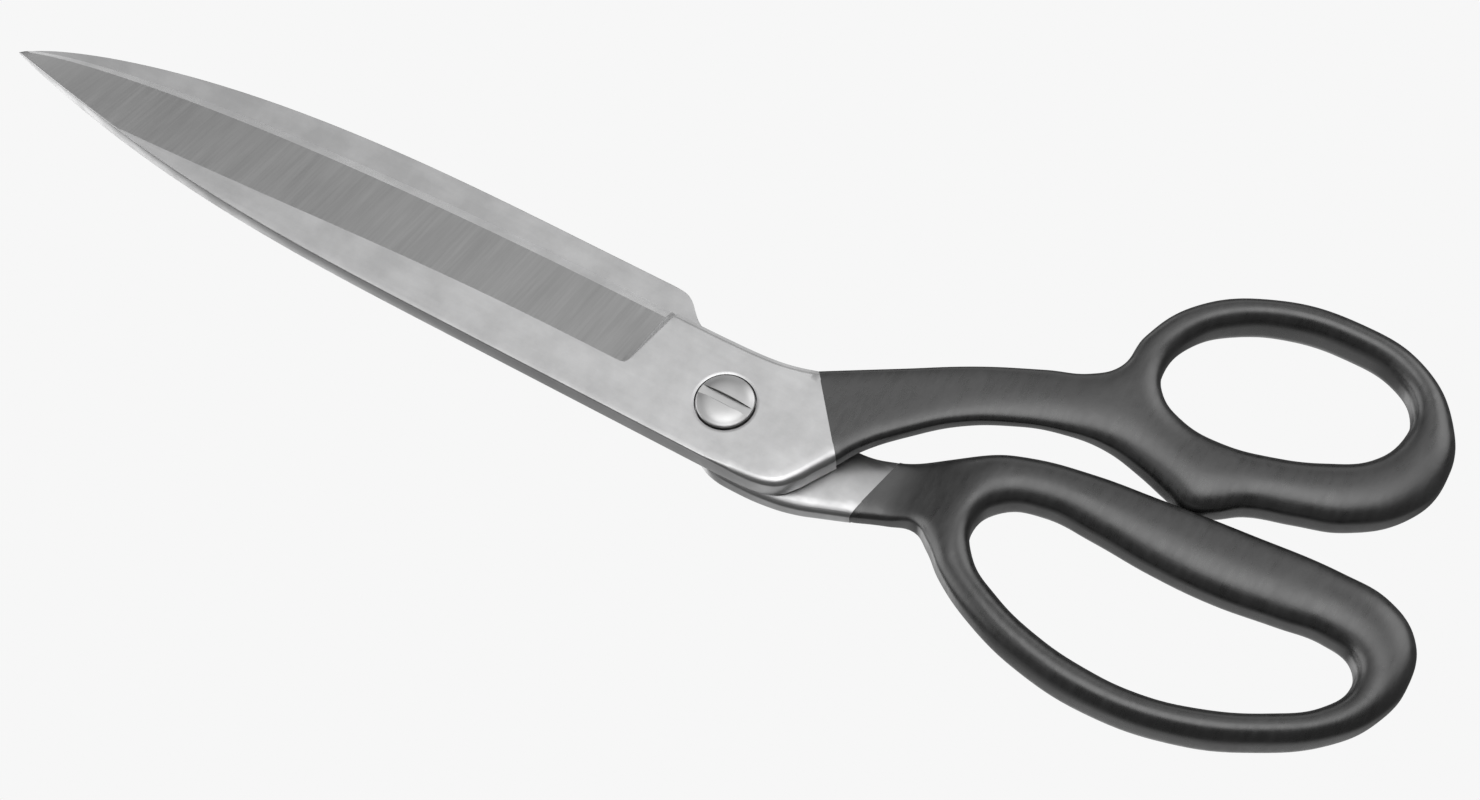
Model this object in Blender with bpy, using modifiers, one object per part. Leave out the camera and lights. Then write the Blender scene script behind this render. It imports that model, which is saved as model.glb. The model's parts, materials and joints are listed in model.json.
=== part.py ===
"""Fabric shears: two ground steel blades on a slotted pivot screw, each with a coated bow handle.

Frame: the origin is where the pivot axis leaves the flat tail of the pivot screw. +Z points along
the screw towards its head, +X runs from the pivot to the handles, parallel to the front blade's
back, and +Y points towards the thumb ring. Lengths below are millimetres, and heights are measured
from the parting plane between the two halves.
"""
import math

import bmesh
import bpy
from mathutils import Matrix, Vector

MM = 0.001
COLLECTION = "fabric_shears"

# Driving dimensions.
PARTING_PLANE_Z = 9.0       # height of the parting plane above the origin
HALF_THICKNESS = 4.0        # outer face of each half, measured from the parting plane
PARTING = 0.15              # each inner face stands this far off the parting plane
GAP = 0.3                   # clearance between separate pieces
TIP_X = -143.9              # tip of both blades
STEP_X = -17.2              # foot of the wall that ends the ground face
STEP_RUN = 1.9              # how far that wall leans back over its full height
SPINE_Y = -9.95             # straight back of the front blade
REAR_SPINE_Y = 16.0         # straight back of the rear blade
EDGE_Y = 11.4               # cutting edge of the front blade at its heel
REAR_EDGE_Y = -5.2          # cutting edge of the rear blade at its heel
LAND_WIDTH = 8.0            # flat land along the back, at the heel
BEVEL_WIDTH = 1.75          # sharpening bevel at the heel
CREASE_Z = 1.2              # height of the blade where the bevel starts
EDGE_Z = 0.4                # height of the cutting edge's top
TIP_Z = 1.0                 # height of the back at the tip
TAPER_X = -118.0            # the land runs out here and the back starts to get thinner

HANDLE_HALF = 4.0           # half the height of a handle
HANDLE_ROUND = 2.2          # rounding of a handle's rims
TANG_WIDTH = 5.0
TANG_THICKNESS = 1.9

HEAD_RADIUS = 4.7
HEAD_TOP = 5.0
HEAD_BOTTOM = 2.7
COUNTERBORE_FLOOR = 1.7
SHOULDER_RADIUS = 3.0
THREAD_RADIUS = 2.5
SLOT_WIDTH = 1.4
SLOT_FLOOR = 4.3
SCREW_END = -PARTING_PLANE_Z
NUT_FLATS = 9.0
NUT_HEIGHT = 3.0
ROUND_STEPS = 40            # facets around a round piece


def point(x, y, z=0.0):
    """A place in the world, in metres, from millimetres with z above the parting plane."""
    return Vector((x, y, z + PARTING_PLANE_Z)) * MM


def clear_scene():
    for obj in list(bpy.data.objects):
        bpy.data.objects.remove(obj, do_unlink=True)


def make_collection(name):
    collection = bpy.data.collections.new(name)
    bpy.context.scene.collection.children.link(collection)
    return collection


def make_material(name, color, roughness, metallic):
    material = bpy.data.materials.new(name)
    material.use_nodes = True
    shader = material.node_tree.nodes["Principled BSDF"]
    shader.inputs["Base Color"].default_value = (*color, 1.0)
    shader.inputs["Roughness"].default_value = roughness
    shader.inputs["Metallic"].default_value = metallic
    material.diffuse_color = (*color, 1.0)
    return material


def add_object(name, mesh, collection, material=None):
    obj = bpy.data.objects.new(name, mesh)
    collection.objects.link(obj)
    if material:
        mesh.materials.append(material)
    return obj


def mesh_from_bmesh(name, bm):
    bmesh.ops.recalc_face_normals(bm, faces=bm.faces)
    mesh = bpy.data.meshes.new(name)
    bm.to_mesh(mesh)
    bm.free()
    return mesh


def as_cutter(obj):
    obj.hide_render = True
    obj.display_type = "WIRE"
    return obj


def boolean(obj, other, operation):
    modifier = obj.modifiers.new(operation.title() + " " + other.name, "BOOLEAN")
    modifier.operation = operation
    modifier.solver = "EXACT"
    modifier.object = other


def block(name, start, end, width, z_low, z_high, collection):
    """A box along the line from start to end in plan, between two heights."""
    run = Vector(end) - Vector(start)
    centre = (Vector(start) + Vector(end)) / 2
    turn = Matrix.Rotation(math.atan2(run.y, run.x), 4, "Z")
    size = Matrix.Diagonal((run.length * MM, width * MM, (z_high - z_low) * MM, 1.0))
    place = Matrix.Translation(point(centre.x, centre.y, (z_low + z_high) / 2))
    bm = bmesh.new()
    bmesh.ops.create_cube(bm, size=1.0, matrix=place @ turn @ size)
    return add_object(name, mesh_from_bmesh(name, bm), collection)


def cylinder(name, radius, z_low, z_high, collection, segments=ROUND_STEPS):
    bm = bmesh.new()
    bmesh.ops.create_cone(
        bm, cap_ends=True, segments=segments, radius1=radius * MM, radius2=radius * MM,
        depth=(z_high - z_low) * MM, matrix=Matrix.Translation(point(0, 0, (z_low + z_high) / 2)))
    return add_object(name, mesh_from_bmesh(name, bm), collection)


def turned(name, profile, collection, material):
    """A piece turned about the pivot axis from (radius, z) points, listed from the top down."""
    mesh = bpy.data.meshes.new(name)
    mesh.from_pydata([point(r, 0, z) for r, z in profile],
                     [(i, i + 1) for i in range(len(profile) - 1)], [])
    obj = add_object(name, mesh, collection, material)
    screw = obj.modifiers.new("Turn", "SCREW")
    screw.axis = "Z"
    screw.steps = ROUND_STEPS
    screw.render_steps = ROUND_STEPS
    screw.use_merge_vertices = True
    screw.merge_threshold = 0.00001
    screw.use_smooth_shade = True
    return obj


def plate(name, loops, half_height, rounding, collection, material=None, resolution=3):
    """A flat plate on z = 0 from smooth closed loops in plan, with rounded rims."""
    curve = bpy.data.curves.new(name + "_outline", "CURVE")
    curve.dimensions = "2D"
    curve.fill_mode = "BOTH"
    curve.resolution_u = resolution
    curve.extrude = (half_height - rounding) * MM
    curve.bevel_depth = rounding * MM
    curve.bevel_resolution = 2
    curve.offset = -rounding * MM
    for loop in loops:
        spline = curve.splines.new("BEZIER")
        spline.bezier_points.add(len(loop) - 1)
        spline.use_cyclic_u = True
        for knot, (x, y) in zip(spline.bezier_points, loop):
            knot.co = (x * MM, y * MM, 0)
            knot.handle_left_type = "AUTO"
            knot.handle_right_type = "AUTO"
    source = bpy.data.objects.new(name + "_outline", curve)
    source.location = point(0, 0)
    collection.objects.link(source)
    return mesh_of_curve(name, source, collection, material)


def mesh_of_curve(name, source, collection, material=None):
    """Turn a curve object into a welded mesh object and remove the curve."""
    bpy.context.view_layer.update()
    depsgraph = bpy.context.evaluated_depsgraph_get()
    mesh = bpy.data.meshes.new_from_object(source.evaluated_get(depsgraph))
    bm = bmesh.new()
    bm.from_mesh(mesh)
    bmesh.ops.remove_doubles(bm, verts=bm.verts, dist=0.000001)
    bmesh.ops.recalc_face_normals(bm, faces=bm.faces)
    bm.to_mesh(mesh)
    bm.free()
    mesh.materials.clear()
    obj = add_object(name, mesh, collection, material)
    obj.matrix_world = source.matrix_world
    bpy.data.objects.remove(source, do_unlink=True)
    return obj


def wedge(name, profile, collection):
    """A closed (x, z) profile carried across the whole width of the shears, as a cutter."""
    curve = bpy.data.curves.new(name, "CURVE")
    curve.dimensions = "2D"
    curve.fill_mode = "BOTH"
    curve.extrude = 100 * MM
    spline = curve.splines.new("POLY")
    spline.points.add(len(profile) - 1)
    spline.use_cyclic_u = True
    for knot, (x, z) in zip(spline.points, profile):
        knot.co = (x * MM, z * MM, 0, 1)
    source = bpy.data.objects.new(name, curve)
    source.location = point(0, 0)
    source.rotation_euler.x = math.radians(90)
    collection.objects.link(source)
    return as_cutter(mesh_of_curve(name + "_cutter", source, collection))


def loft(name, sections, collection, material):
    """A closed skin over rings of points that all have the same number of points."""
    bm = bmesh.new()
    rings = [[bm.verts.new(point(*p)) for p in section] for section in sections]
    count = len(rings[0])
    for ring, following in zip(rings, rings[1:]):
        for i in range(count):
            j = (i + 1) % count
            bm.faces.new((ring[i], ring[j], following[j], following[i]))
    bm.faces.new(rings[0])
    bm.faces.new(rings[-1])
    return add_object(name, mesh_from_bmesh(name, bm), collection, material)


def run_in(x, start):
    """0 at start, growing to 1 at the tip."""
    return min(max((start - x) / (start - TIP_X), 0.0), 1.0)


def front_spine(x):
    return SPINE_Y * (1 - run_in(x, -50) ** 2.75) - 0.4 * run_in(x, -50) ** 9


def rear_spine(x):
    return REAR_SPINE_Y * (1 - run_in(x, -40) ** 2.7) ** (1 / 1.3) + 0.3 * run_in(x, -40) ** 9


def front_edge(x):
    return EDGE_Y * (1 - run_in(x, STEP_X) ** 2.4) ** (2 / 3) + 0.1 * run_in(x, STEP_X) ** 9


def rear_edge(x):
    return REAR_EDGE_Y * (1 - run_in(x, STEP_X) ** 2.4) ** (2 / 3)


def blade_section(x, spine, edge, side):
    """One section of a ground blade; side is 1 for the front half and -1 for the rear half."""
    width = side * (edge(x) - spine(x))
    land = min(LAND_WIDTH * (1 - min(max((STEP_X - x) / (STEP_X - TAPER_X), 0), 1) ** 2.5),
               width * 0.5)
    bevel = min(BEVEL_WIDTH * (width / 21.3) ** 0.45, width * 0.35)
    thinning = run_in(x, TAPER_X) ** 2
    back_z = HALF_THICKNESS - (HALF_THICKNESS - TIP_Z) * thinning
    crease_z = CREASE_Z - 0.4 * thinning
    return [
        (x, spine(x), side * PARTING),
        (x, spine(x), side * back_z),
        (x, spine(x) + side * (land + 0.05), side * back_z),
        (x, edge(x) - side * bevel, side * crease_z),
        (x, edge(x), side * EDGE_Z),
        (x, edge(x), side * PARTING),
    ]


def heel_section(lower, upper, side):
    """One section of the full-height steel behind the ground face, from the back to the far side."""
    spine, far = (lower, upper) if side > 0 else (upper, lower)
    on_top = [0.4, 0.93]
    tops = [(spine[0] + (far[0] - spine[0]) * f, spine[1] + (far[1] - spine[1]) * f) for f in on_top]
    outer = side * HALF_THICKNESS
    inner = side * PARTING
    return [(*spine, inner), (*spine, outer), (*tops[0], outer), (*tops[1], outer),
            (*far, outer), (*far, inner)]


def blade_stations():
    """Plan positions along a blade, closer together where its outline turns in to the tip."""
    count = 26
    return [TIP_X + (STEP_X - TIP_X) * (i / (count - 1)) ** 1.35 for i in range(count)]


# The steel behind the ground face: pairs of points on its -Y side and its +Y side.
FRONT_HEEL = [
    ((-16.9, SPINE_Y), (-15.3, 9.9)), ((-8.0, SPINE_Y), (-10.0, 10.0)), ((2.0, -9.9), (-4.0, 10.0)),
    ((8.5, -9.75), (0.5, 10.2)), ((11.5, -9.5), (3.5, 10.45)), ((13.3, -9.0), (5.5, 10.8)),
    ((14.9, -8.1), (7.2, 11.15)), ((16.5, -6.0), (8.6, 11.6)), ((20.0, 0.0), (9.9, 12.1)),
]
REAR_HEEL = [
    ((-15.3, -4.0), (-16.9, 15.8)), ((-13.5, -4.0), (-15.6, 15.1)), ((-11.5, -4.1), (-14.1, 13.7)),
    ((-9.5, -4.2), (-12.8, 12.5)), ((-7.5, -4.5), (-11.2, 11.6)), ((-4.5, -5.4), (-8.5, 10.9)),
    ((-2.0, -6.9), (-4.5, 10.2)), ((0.4, -8.6), (0.0, 9.9)), ((3.0, -9.6), (4.5, 9.4)),
    ((7.0, -9.9), (9.0, 8.4)), ((13.5, -9.5), (14.5, 6.2)), ((17.7, -8.6), (19.0, 4.8)),
    ((21.3, -7.3), (23.3, 4.7)), ((25.5, -5.7), (28.0, 6.1)),
]

# Smooth outlines of the handles in plan. The first two and the last points lie beyond the steel's
# end, inside the cut that makes each handle's flat front face.
FRONT_HANDLE = [
    (3.5, 8.5), (9.8, 12.4), (20.6, 19.3), (30.5, 26.0), (40.3, 30.7), (46.5, 33.3), (49.9, 36.8),
    (51.1, 43.5), (55.0, 52.5), (65.2, 59.4), (80.2, 61.9), (91.0, 59.4), (99.5, 52.7),
    (101.9, 44.4), (99.5, 36.5), (92.0, 29.6), (84.9, 27.0), (77.8, 24.6), (73.9, 21.8),
    (70.0, 20.2), (66.2, 21.2), (61.0, 23.3), (54.6, 24.4), (47.0, 23.8), (39.7, 21.2),
    (32.5, 16.9), (26.7, 11.1), (22.0, 3.9), (19.9, 0.0), (17.0, -5.0),
]
THUMB_HOLE = [
    (55.8, 40.6), (57.4, 47.5), (62.5, 52.7), (70.0, 56.2), (79.8, 57.4), (88.0, 56.1),
    (92.9, 52.6), (93.8, 47.5), (91.2, 41.4), (85.0, 37.0), (77.5, 33.9), (70.0, 32.3),
    (63.0, 32.9), (57.8, 36.0),
]
REAR_HANDLE = [
    (22.0, 4.3), (28.0, 6.0), (34.9, 10.0), (45.3, 15.5), (55.3, 17.9), (65.3, 19.1), (80.2, 20.6),
    (95.1, 21.6), (103.0, 20.9), (108.5, 17.1), (110.8, 10.9), (109.4, 4.0), (105.1, -2.3),
    (95.0, -9.4), (84.9, -13.4), (72.0, -16.0), (59.7, -15.2), (49.7, -11.6), (42.5, -7.7),
    (38.2, -4.4), (34.9, -2.9), (31.0, -3.8), (25.5, -6.1), (20.0, -8.0),
]
FINGER_HOLE = [
    (43.1, 2.2), (45.3, 7.3), (51.5, 9.6), (59.7, 9.4), (69.7, 8.8), (79.8, 9.0), (89.9, 10.6),
    (97.0, 11.4), (102.2, 9.8), (103.8, 5.6), (101.5, 0.8), (95.0, -3.9), (85.1, -8.7),
    (77.0, -10.8), (69.0, -11.1), (60.3, -10.0), (52.0, -7.2), (45.8, -3.3),
]

# Tangs: straight tongues of the blades inside the handles, from inside the steel to their ends.
FRONT_TANG = ((13.5, 4.5), (29.0, 19.0))
REAR_TANG = ((25.0, 0.0), (37.5, 2.2))


def steel_blade(name, spine, edge, heel, tang, side, model, cutters, steel):
    """A blade with its heel and tang as one forging, drilled for the pivot screw."""
    sections = [blade_section(x, spine, edge, side) for x in blade_stations()]
    sections += [heel_section(lower, upper, side) for lower, upper in heel]
    blade = loft(name, sections, model, steel)
    middle = side * (HALF_THICKNESS + PARTING) / 2
    tongue = as_cutter(block(name + "_tang", *tang, TANG_WIDTH, middle - TANG_THICKNESS / 2,
                             middle + TANG_THICKNESS / 2, cutters))
    boolean(blade, tongue, "UNION")
    if side > 0:
        bore = cylinder(name + "_bore", SHOULDER_RADIUS + GAP, -1, 5, cutters)
        recess = cylinder(name + "_counterbore", HEAD_RADIUS + GAP, COUNTERBORE_FLOOR, 6, cutters)
        boolean(blade, as_cutter(bore), "DIFFERENCE")
        boolean(blade, as_cutter(recess), "DIFFERENCE")
    else:
        bore = cylinder(name + "_bore", THREAD_RADIUS + GAP, -6, 1, cutters)
        boolean(blade, as_cutter(bore), "DIFFERENCE")
    return blade


def front_face_cutter(name, end_of_steel, cutters):
    """A block whose far face stands one gap behind the steel's slanted end."""
    lower, upper = (Vector(p) for p in end_of_steel)
    along = (upper - lower).normalized()
    away = Vector((along.y, -along.x))
    middle = (lower + upper) / 2
    return as_cutter(block(name, middle - away * 40, middle + away * GAP, 60, -6, 6, cutters))


def coated_handle(name, outline, hole, end_of_steel, tang, relief, side, model, cutters, coat):
    """A bow handle, relieved where it passes the other half, with a socket for its tang."""
    handle = plate(name, [outline, hole], HANDLE_HALF, HANDLE_ROUND, model, coat)
    boolean(handle, front_face_cutter(name + "_front_face", end_of_steel, cutters), "DIFFERENCE")
    boolean(handle, wedge(name + "_relief", relief, cutters), "DIFFERENCE")
    start, end = (Vector(p) for p in tang)
    reach = end + (end - start).normalized() * GAP
    middle = side * (HALF_THICKNESS + PARTING) / 2
    half_height = TANG_THICKNESS / 2 + GAP
    socket = block(name + "_socket", start, reach, TANG_WIDTH + 2 * GAP,
                   middle - half_height, middle + half_height, cutters)
    boolean(handle, as_cutter(socket), "DIFFERENCE")
    return handle


def pivot_screw(model, cutters, steel):
    """Slotted, slightly domed head on a shoulder that the front half turns on, then the thread."""
    profile = [
        (0, HEAD_TOP), (2.4, HEAD_TOP - 0.03), (3.4, HEAD_TOP - 0.15), (4.1, HEAD_TOP - 0.36),
        (4.55, HEAD_TOP - 0.62), (HEAD_RADIUS, HEAD_TOP - 0.95), (HEAD_RADIUS, HEAD_BOTTOM),
        (SHOULDER_RADIUS, HEAD_BOTTOM), (SHOULDER_RADIUS, PARTING + GAP),
        (THREAD_RADIUS, PARTING + GAP), (THREAD_RADIUS, SCREW_END + 0.5),
        (THREAD_RADIUS - 0.5, SCREW_END), (0, SCREW_END),
    ]
    screw = turned("pivot_screw", profile, model, steel)
    slot = block("screw_slot", (-8, 0), (8, 0), SLOT_WIDTH, SLOT_FLOOR, 7, cutters)
    boolean(screw, as_cutter(slot), "DIFFERENCE")
    return screw


def washer(name, inner, outer, z_low, z_high, model, material):
    profile = [(inner, z_high), (outer, z_high), (outer, z_low), (inner, z_low), (inner, z_high)]
    return turned(name, profile, model, material)


def lock_nut(model, cutters, steel):
    """A hexagon jam nut behind the rear blade."""
    top = -(HALF_THICKNESS + 2 * GAP + 0.5)
    corner_radius = NUT_FLATS / 2 / math.cos(math.radians(30))
    nut = cylinder("lock_nut", corner_radius, top - NUT_HEIGHT, top, model, segments=6)
    nut.data.materials.append(steel)
    bevel = nut.modifiers.new("Rim", "BEVEL")
    bevel.width = 0.3 * MM
    bevel.segments = 1
    bore = cylinder("nut_bore", THREAD_RADIUS + GAP, top - NUT_HEIGHT - 1, top + 1, cutters)
    boolean(nut, as_cutter(bore), "DIFFERENCE")
    return nut


def build():
    clear_scene()
    model = make_collection(COLLECTION)
    cutters = make_collection("cutters")
    steel = make_material("blade_steel", (0.62, 0.62, 0.63), 0.32, 1.0)
    rear_steel = make_material("rear_blade_steel", (0.58, 0.58, 0.59), 0.34, 1.0)
    front_coat = make_material("front_handle_coating", (0.035, 0.035, 0.037), 0.42, 0.0)
    rear_coat = make_material("rear_handle_coating", (0.032, 0.032, 0.034), 0.42, 0.0)
    screw_steel = make_material("screw_steel", (0.66, 0.66, 0.67), 0.25, 1.0)
    washer_bronze = make_material("washer_bronze", (0.55, 0.40, 0.22), 0.4, 1.0)
    spring_steel = make_material("spring_steel", (0.45, 0.46, 0.48), 0.35, 1.0)
    nut_steel = make_material("nut_steel", (0.55, 0.55, 0.56), 0.35, 1.0)

    steel_blade("front_blade", front_spine, front_edge, FRONT_HEEL, FRONT_TANG, 1,
                model, cutters, steel)
    steel_blade("rear_blade", rear_spine, rear_edge, REAR_HEEL, REAR_TANG, -1,
                model, cutters, rear_steel)

    front_relief = [(-5, PARTING), (24, PARTING), (36, -HANDLE_HALF - 0.5), (-5, -HANDLE_HALF - 0.5)]
    rear_relief = [(5, -PARTING), (30, -PARTING), (42, HANDLE_HALF + 0.5), (5, HANDLE_HALF + 0.5)]
    coated_handle("front_handle", FRONT_HANDLE, THUMB_HOLE, FRONT_HEEL[-1], FRONT_TANG,
                  front_relief, 1, model, cutters, front_coat)
    coated_handle("rear_handle", REAR_HANDLE, FINGER_HOLE, REAR_HEEL[-1], REAR_TANG,
                  rear_relief, -1, model, cutters, rear_coat)

    pivot_screw(model, cutters, screw_steel)
    washer("friction_washer", SHOULDER_RADIUS + GAP, HEAD_RADIUS - 0.2,
           COUNTERBORE_FLOOR + GAP, HEAD_BOTTOM - GAP, model, washer_bronze)
    washer("spring_washer", THREAD_RADIUS + GAP, 4.3,
           -(HALF_THICKNESS + GAP + 0.5), -(HALF_THICKNESS + GAP), model, spring_steel)
    lock_nut(model, cutters, nut_steel)


build()
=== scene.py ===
"""Looks of the fabric shears: finished blades, handles, screw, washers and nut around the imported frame.

Lengths are millimetres unless a name says otherwise. Plan shapes are drawn in X and Y, and heights are
measured from the parting plane between the two halves, as in the part's own source.
"""

import json
import math

import bpy
import numpy as np
from mathutils import Matrix, Vector
from mathutils.geometry import delaunay_2d_cdt
from mathutils.kdtree import KDTree


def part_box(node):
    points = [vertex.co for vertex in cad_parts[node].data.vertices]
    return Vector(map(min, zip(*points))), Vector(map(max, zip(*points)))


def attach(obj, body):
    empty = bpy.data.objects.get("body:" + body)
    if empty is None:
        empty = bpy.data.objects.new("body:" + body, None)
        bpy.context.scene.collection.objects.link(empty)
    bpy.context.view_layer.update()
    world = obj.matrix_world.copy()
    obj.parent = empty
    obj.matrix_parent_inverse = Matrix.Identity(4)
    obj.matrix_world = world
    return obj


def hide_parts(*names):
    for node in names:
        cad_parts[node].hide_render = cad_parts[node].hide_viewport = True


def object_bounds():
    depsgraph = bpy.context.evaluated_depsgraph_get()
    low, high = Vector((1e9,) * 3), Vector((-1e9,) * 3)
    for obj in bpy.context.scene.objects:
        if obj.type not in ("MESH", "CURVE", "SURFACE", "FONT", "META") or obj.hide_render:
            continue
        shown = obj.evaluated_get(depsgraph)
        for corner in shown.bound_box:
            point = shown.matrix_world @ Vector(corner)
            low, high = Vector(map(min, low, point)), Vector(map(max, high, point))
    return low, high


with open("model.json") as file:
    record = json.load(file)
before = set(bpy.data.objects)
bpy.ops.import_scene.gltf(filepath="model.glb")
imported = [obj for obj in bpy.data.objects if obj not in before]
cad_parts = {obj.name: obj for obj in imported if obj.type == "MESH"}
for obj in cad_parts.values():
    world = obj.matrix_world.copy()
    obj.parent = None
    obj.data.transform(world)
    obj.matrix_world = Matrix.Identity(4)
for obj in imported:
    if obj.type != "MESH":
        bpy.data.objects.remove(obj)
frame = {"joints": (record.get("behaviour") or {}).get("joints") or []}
cad_low, cad_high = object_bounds()

MM = 0.001
PIVOT = Vector(frame["joints"][0]["pos_m"])     # the parting plane's height is PIVOT.z


def cad_box(node):
    """Lowest and highest corner of a CAD node, in millimetres above the parting plane."""
    return [(corner - Vector((0, 0, PIVOT.z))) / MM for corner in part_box(node)]


FRONT_LOW, FRONT_HIGH = cad_box("front_blade")
REAR_HIGH = cad_box("rear_blade")[1]

# Blades.
TIP_X = FRONT_LOW.x
FRONT_SPINE = FRONT_LOW.y
REAR_SPINE = REAR_HIGH.y
OUTER = FRONT_HIGH.z            # outer face of each half
INNER = FRONT_LOW.z             # inner face of each half
STEP_X = -17.2                  # foot of the wall that ends the ground face
FRONT_EDGE = 11.4               # cutting edges at their heels
REAR_EDGE = -5.2
LAND_WIDTH = 8.0                # flat land along the back
LAND_POWER = 2.5                # how late the land narrows on its way to the tip
LAND_MOST = 0.5                 # the land never takes more than this share of the blade
LAND_CORNER = 1.2               # rounded corner where the land meets the step
BEVEL_WIDTH = 1.75              # sharpening bevel where the blade is HEEL_WIDTH wide
BEVEL_POWER = 0.45              # how slowly the bevel narrows with the blade
BEVEL_MOST = 0.35               # the bevel never takes more than this share of the blade
BEVEL_SLOPE = 0.54
HEEL_WIDTH = 21.3
STEP_SLOPE = 1.37               # rise over run of the step's wall
STEP_SOFT = 0.12                # half length of the small curves at its foot and brow
TAPER_X = -118.0                # the land runs out here and the back starts to get thinner
EDGE_Z = 0.25                   # height of the cutting edge's top
TIP_Z = 1.0                     # height of the back at the tip
TIP_POWER = 9                   # the last sideways shift of an outline acts only near the tip

# Lines where the steel ends and the handle starts.
FRONT_STEEL_END = ((20.0, 0.0), (9.9, 12.1))
REAR_STEEL_END = ((25.5, -5.7), (28.0, 6.5))

# Numbers of the materials on a blade, in the order that dress() gets them. The bevel's and the step's are
# lighter steel that carries painted sheen.
LAND, GROUND, BEVEL, STEP = range(4)
RIM_BAND = 0.26                 # the rounded rim beside the back keeps the land's finish
CHAMFER_SHOWS = 0.11            # a chamfer deeper than this gets the bevel's material: its honed finish, lightened with painted sheen

# Handles.
HANDLE_HALF = 4.2               # half height of a bow where it is widest
BOW_WALL = 0.25                 # share of a bow's height that is an upright wall at its rim
BOW_REACH = 14.0                # wider parts than this flatten on top
NARROW = 0.85                   # bars whose half width nears this are lower
AVERAGE_REACH = 5.0             # length over which the local width is averaged
ROOT_REACH = 0.7                # how far the rounding next to the steel reaches in
ROOT_RISE = 1.3
COAT = 0.15                     # the bows stand this far outside the CAD outline
COAT_STEP = 0.04                # the coat stands this far above the steel where they meet
COAT_OVERLAP = 0.06             # and reaches this far over their boundary

# Screw head.
DOME_TILT = 26                  # slope of the dome at its rim, in degrees
SLOT_WIDTH = 1.55
SLOT_DEPTH = 0.6
SLOT_LIP = 0.08                 # width of the small bevels beside the slot

# Meshing.
CURVE_HANDLE = 2.5614           # a curve's handles reach the distance between knots over this
SIDE_POINTS, SIDE_CROWDING = 420, 1.15      # points on each side of a blade, closer near the tip
LINE_POINTS, LINE_CROWDING = 260, 1.1       # the same for the land's and the crease's line
BLADE_FILL = 1.1                # grid of a blade's triangles
ROW_HEIGHT = 0.866              # between the rows of a grid of even triangles, as a share of its step
BORDER_STEP = 0.8               # points across the steel's end
CURVE_STEP = 0.5                # points along the steel's outline
BOW_STEP = 0.7                  # points along a handle's outline
BOW_FILL = 0.9                  # grid of a handle's triangles
TINY = 0.001
TURN_STEPS = 96                 # faces around a turned piece
SHARP_ANGLE = 38                # edges steeper than this many degrees stay sharp
RUN_OUT = 3.0                   # how far a rim's path is drawn out past its ends
FLOOR_DROP = 0.0001             # metres between the shears and the floor


# ---------------------------------------------------------------- plan curves

def ramp(value, start, end):
    """0 at start, 1 at end, straight between them."""
    return np.clip((np.asarray(value, float) - start) / (end - start), 0.0, 1.0)


def ease(value, start, end):
    t = ramp(value, start, end)
    return t * t * (3 - 2 * t)


def unit(vectors):
    length = np.linalg.norm(vectors, axis=-1, keepdims=True)
    return vectors / np.maximum(length, 1e-12)


def smooth_path(knots, step, closed=False):
    """Evenly stepped points on a smooth curve through the knots, like a curve with automatic handles."""
    knots = np.array(knots, float)
    if closed:
        before, after = np.roll(knots, 1, 0), np.roll(knots, -1, 0)
    else:
        before = np.vstack([2 * knots[0] - knots[1], knots[:-1]])
        after = np.vstack([knots[1:], 2 * knots[-1] - knots[-2]])
    heading = unit(unit(knots - before) + unit(after - knots))
    path = []
    for i in range(len(knots) if closed else len(knots) - 1):
        j = (i + 1) % len(knots)
        reach = np.linalg.norm(knots[j] - knots[i])
        handle = reach / CURVE_HANDLE
        a, d = knots[i], knots[j]
        b, c = a + heading[i] * handle, d - heading[j] * handle
        count = max(2, round(reach / step))
        for t in np.arange(count) / count:
            s = 1 - t
            path.append(s * s * s * a + 3 * s * s * t * b + 3 * s * t * t * c + t * t * t * d)
    if not closed:
        path.append(knots[-1])
    return np.array(path)


def straight(start, end, step, finer=(0.1, 0.3, 0.6, 1.0)):
    """Points from start to end, with closer points near both ends."""
    start, end = np.array(start, float), np.array(end, float)
    length = np.linalg.norm(end - start)
    margin = finer[-1] + step / 2
    inside = np.linspace(margin, length - margin, max(2, round((length - 2 * margin) / step)))
    places = [0.0, *finer, *inside, *[length - f for f in reversed(finer)], length]
    return start + np.outer(places, unit(end - start))


def joined(*runs):
    """One closed loop from runs whose ends meet."""
    loop = [run[:-1] for run in runs]
    return np.vstack(loop)


def measure(points, path, closed=False):
    """Distance of each point to a path, and where along the path (as a point number) it is nearest."""
    ends = np.roll(path, -1, 0) if closed else path[1:]
    starts = path if closed else path[:-1]
    along = ends - starts
    square = np.maximum((along ** 2).sum(1), 1e-12)
    best, place = np.empty(len(points)), np.empty(len(points))
    for first in range(0, len(points), 1000):
        part = points[first:first + 1000, None, :] - starts[None]
        t = np.clip((part * along).sum(2) / square, 0, 1)
        gap = ((part - t[..., None] * along) ** 2).sum(2)
        nearest = gap.argmin(1)
        rows = np.arange(len(nearest))
        best[first:first + 1000] = np.sqrt(gap[rows, nearest])
        place[first:first + 1000] = nearest + t[rows, nearest]
    return best, place


def inside(points, loops):
    """Which points lie inside the loops, where a loop within a loop is a hole."""
    result = np.zeros(len(points), bool)
    x, y = points[:, 0:1], points[:, 1:2]
    for loop in loops:
        ax, ay = loop[:, 0], loop[:, 1]
        bx, by = np.roll(ax, -1), np.roll(ay, -1)
        rise = np.where(by == ay, 1e-12, by - ay)
        crosses = ((ay > y) != (by > y)) & (x < (bx - ax) * (y - ay) / rise + ax)
        result ^= (crosses.sum(1) % 2).astype(bool)
    return result


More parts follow.
